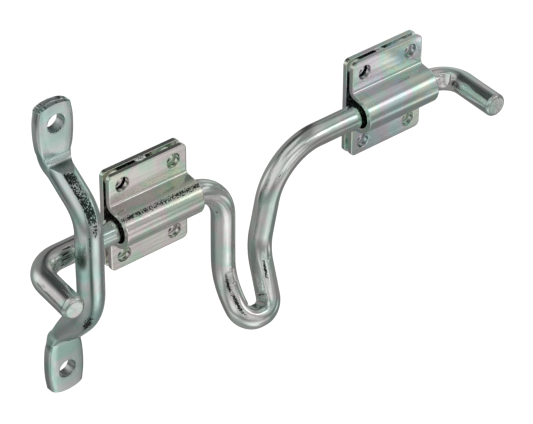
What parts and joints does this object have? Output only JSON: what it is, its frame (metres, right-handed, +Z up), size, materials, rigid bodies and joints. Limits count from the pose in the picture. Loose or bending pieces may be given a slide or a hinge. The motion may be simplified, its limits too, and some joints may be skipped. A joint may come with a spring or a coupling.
{
  "type": "sliding bolt latch",
  "caption": "Gate bolt bent from one round bar, with a U grip and end legs, in strap brackets, with a bent bar keeper.",
  "frame": {"origin": "mounting surface, centre of the left bracket's four screw holes", "axes": "+X along the bolt from the keeper to the far end leg, +Y into the door or gate, +Z up"},
  "size_m": [0.2866, 0.0509, 0.1698],
  "materials": {
    "bolt_zinc": "bright zinc plate over bent bar, scuffed at the bends",
    "keeper_zinc": "bright zinc plate over forged and sheared bar",
    "sheet_zinc": "bright zinc plate over pressed sheet",
    "weld_zinc": "zinc plated weld bead"
  },
  "bodies": {
    "fixed_hardware": {"left_strap": "sheet_zinc", "left_back_plate": "sheet_zinc", "left_tack_weld": "weld_zinc", "right_strap": "sheet_zinc", "right_back_plate": "sheet_zinc", "right_tack_weld": "weld_zinc", "keeper": "keeper_zinc"},
    "bolt": {"bolt_bar": "bolt_zinc"}
  },
  "joints": [
    {"name": "bolt_turn", "type": "hinge", "parent": "fixed_hardware", "child": "bolt", "pos_m": [0, -0.01065, -0.00094], "axis": [-1, 0, 0], "range_deg": [0, 95]}
  ]
}
